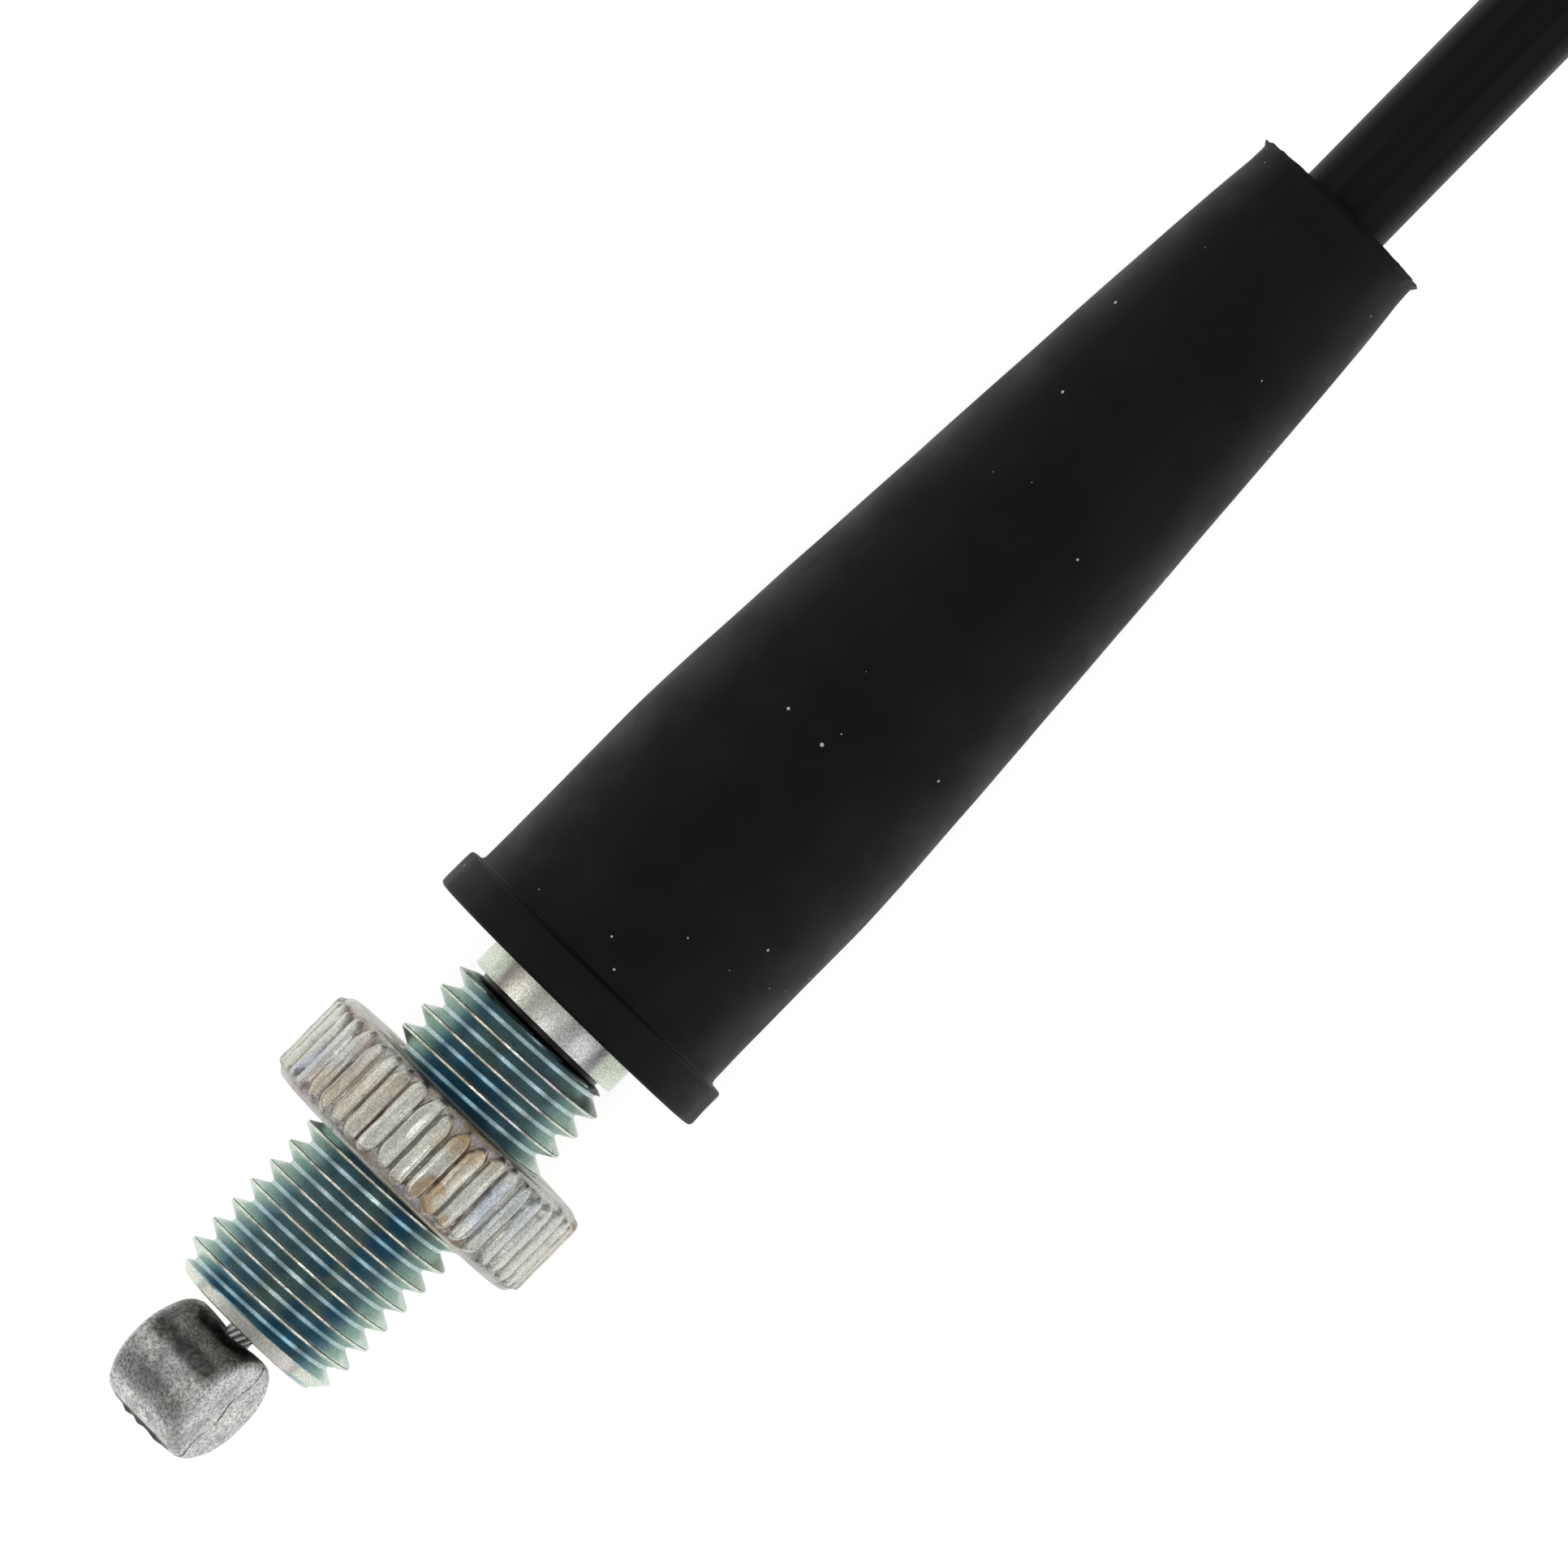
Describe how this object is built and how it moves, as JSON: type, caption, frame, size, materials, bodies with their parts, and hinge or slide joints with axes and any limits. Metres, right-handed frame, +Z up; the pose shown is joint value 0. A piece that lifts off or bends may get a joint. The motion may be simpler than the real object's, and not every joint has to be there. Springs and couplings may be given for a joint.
{
  "type": "control cable",
  "caption": "Sleeved pull cable with a threaded adjuster, knurled lock nut and rubber boot at the near end, barrel nipples on the wire, and the rest of its casing tied in a coil.",
  "frame": {"origin": "bottom centre of the near end's bounding box (nipple to the boot's tail), on the surface the cable lies on", "axes": "+X along the wire from the near nipple to the casing, +Z up from the surface, +Y towards the coil's middle"},
  "size_m": [0.147, 0.0639, 0.0136],
  "materials": {
    "zinc_plate": "clear passivated zinc plate, pale silver with a blue-green and straw cast",
    "cast_zinc": "rough die-cast zinc, mottled grey",
    "steel_wire": "bright drawn steel wire",
    "rubber": "matte black moulded rubber with fine dust",
    "jacket_plastic": "black extruded plastic, satin",
    "liner_plastic": "translucent off-white low-friction tube",
    "tie_nylon": "black nylon, satin"
  },
  "bodies": {
    "casing": {"near_ferrule": "zinc_plate", "near_jacket": "jacket_plastic", "near_conduit": "steel_wire", "near_liner": "liner_plastic", "casing_run": "jacket_plastic", "casing_coil": "jacket_plastic", "casing_return": "jacket_plastic", "coil_tie_outer": "tie_nylon", "coil_tie_inner": "tie_nylon", "far_jacket": "jacket_plastic", "far_conduit": "steel_wire", "far_liner": "liner_plastic", "far_ferrule": "zinc_plate"},
    "adjuster": {"adjuster_screw": "zinc_plate"},
    "nut": {"lock_nut": "zinc_plate"},
    "boot": {"rubber_boot": "rubber"},
    "near_pull": {"near_wire": "steel_wire", "near_nipple": "cast_zinc"},
    "far_pull": {"far_wire": "steel_wire", "far_nipple": "cast_zinc"}
  },
  "joints": [
    {"name": "adjuster_turn", "type": "hinge", "parent": "casing", "child": "adjuster", "pos_m": [-0.0278, 0, 0.0068], "axis": [1, 0, 0], "range_deg": [-615, 2590]},
    {"name": "nut_travel", "type": "slide", "parent": "casing", "child": "nut", "axis": [1, 0, 0], "range_m": [-0.0076, 0.0018]},
    {"name": "boot_slide", "type": "slide", "parent": "casing", "child": "boot", "axis": [1, 0, 0], "range_m": [-0.0012, 0.018]},
    {"name": "near_wire_pull", "type": "slide", "parent": "casing", "child": "near_pull", "axis": [-1, 0, 0], "range_m": [0, 0.025]},
    {"name": "far_wire_draw", "type": "slide", "parent": "casing", "child": "far_pull", "axis": [1, 0, 0], "range_m": [0, 0.025]}
  ],
  "couplings": [
    {"joint": "adjuster_turn", "follows": "nut_travel", "rad_per_m": -5936.9},
    {"joint": "far_wire_draw", "follows": "near_wire_pull", "ratio": 1}
  ]
}
